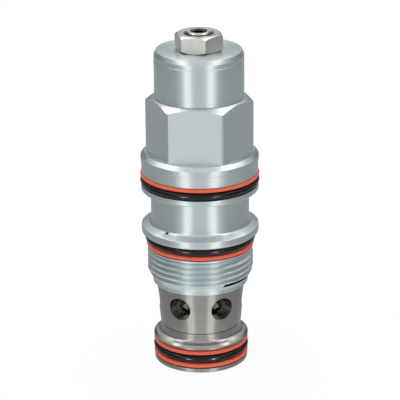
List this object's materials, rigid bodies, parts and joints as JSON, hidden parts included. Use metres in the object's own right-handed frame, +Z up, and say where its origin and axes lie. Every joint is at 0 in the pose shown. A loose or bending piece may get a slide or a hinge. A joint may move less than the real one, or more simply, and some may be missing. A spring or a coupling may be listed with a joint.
{
  "type": "cartridge valve",
  "caption": "Screw-in counterbalance cartridge valve with hex body, adjuster cap and locknut, floating nose sleeve, cross holes and sealed ports.",
  "frame": {"origin": "centre of the flat nose face (port 1)", "axes": "+Z up the valve axis towards the adjusting screw; -Y is the side with the pilot hole towards -X"},
  "size_m": [0.0403, 0.0402, 0.1163],
  "materials": {
    "zinc_plate": "satin turned, zinc plated",
    "ground_steel": "turned and ground bare steel",
    "inner_steel": "hardened and ground",
    "plated_fastener": "plated steel",
    "spring_wire": "drawn spring steel",
    "black_rubber": "smooth nitrile",
    "orange_polyurethane": "satin polyurethane"
  },
  "bodies": {
    "housing": {"valve_body": "zinc_plate", "adjuster_cap": "zinc_plate", "cap_o_ring": "black_rubber", "upper_o_ring": "black_rubber", "upper_backup_ring": "orange_polyurethane", "mid_o_ring": "black_rubber", "mid_backup_ring": "orange_polyurethane", "retaining_wire": "spring_wire", "main_spring": "spring_wire"},
    "floating_sleeve": {"nose_sleeve": "ground_steel", "nose_o_ring": "black_rubber", "nose_lower_backup_ring": "orange_polyurethane", "nose_upper_backup_ring": "orange_polyurethane", "nose_retaining_ring": "spring_wire", "check_spring_retainer": "inner_steel", "check_spring": "spring_wire"},
    "check": {"check_poppet": "inner_steel"},
    "relief": {"relief_poppet": "inner_steel", "guide_o_ring": "black_rubber", "guide_backup_ring": "orange_polyurethane", "piston_o_ring": "black_rubber", "piston_backup_ring": "orange_polyurethane", "lower_spring_seat": "inner_steel"},
    "spring_adjuster": {"upper_spring_seat": "inner_steel", "spring_seat_o_ring": "black_rubber", "spring_seat_backup_ring": "orange_polyurethane"},
    "screw": {"adjusting_screw": "plated_fastener"},
    "jam_nut": {"locknut": "plated_fastener"}
  },
  "joints": [
    {"name": "sleeve_swivel", "type": "hinge", "parent": "housing", "child": "floating_sleeve", "pos_m": [0, 0, 0.0318], "axis": [0, 0, 1], "continuous": true},
    {"name": "check_slide", "type": "slide", "parent": "floating_sleeve", "child": "check", "axis": [0, 0, -1], "range_m": [0, 0.002], "stiffness_N_per_m": 300, "springref_m": -0.006, "deforming": ["check_spring"]},
    {"name": "relief_slide", "type": "slide", "parent": "housing", "child": "relief", "axis": [0, 0, 1], "range_m": [0, 0.0025], "stiffness_N_per_m": 1500, "springref_m": -0.01, "deforming": ["main_spring"]},
    {"name": "spring_seat_slide", "type": "slide", "parent": "housing", "child": "spring_adjuster", "axis": [0, 0, 1], "range_m": [-0.00212, 0.00185], "deforming": ["main_spring"]},
    {"name": "screw_turn", "type": "hinge", "parent": "spring_adjuster", "child": "screw", "pos_m": [0, 0, 0.1163], "axis": [0, 0, 1], "range_deg": [-721, 631]},
    {"name": "locknut_turn", "type": "hinge", "parent": "housing", "child": "jam_nut", "pos_m": [0, 0, 0.11], "axis": [0, 0, 1], "range_deg": [0, 90]}
  ],
  "couplings": [
    {"joint": "screw_turn", "follows": "spring_seat_slide", "rad_per_m": 5936.9}
  ]
}
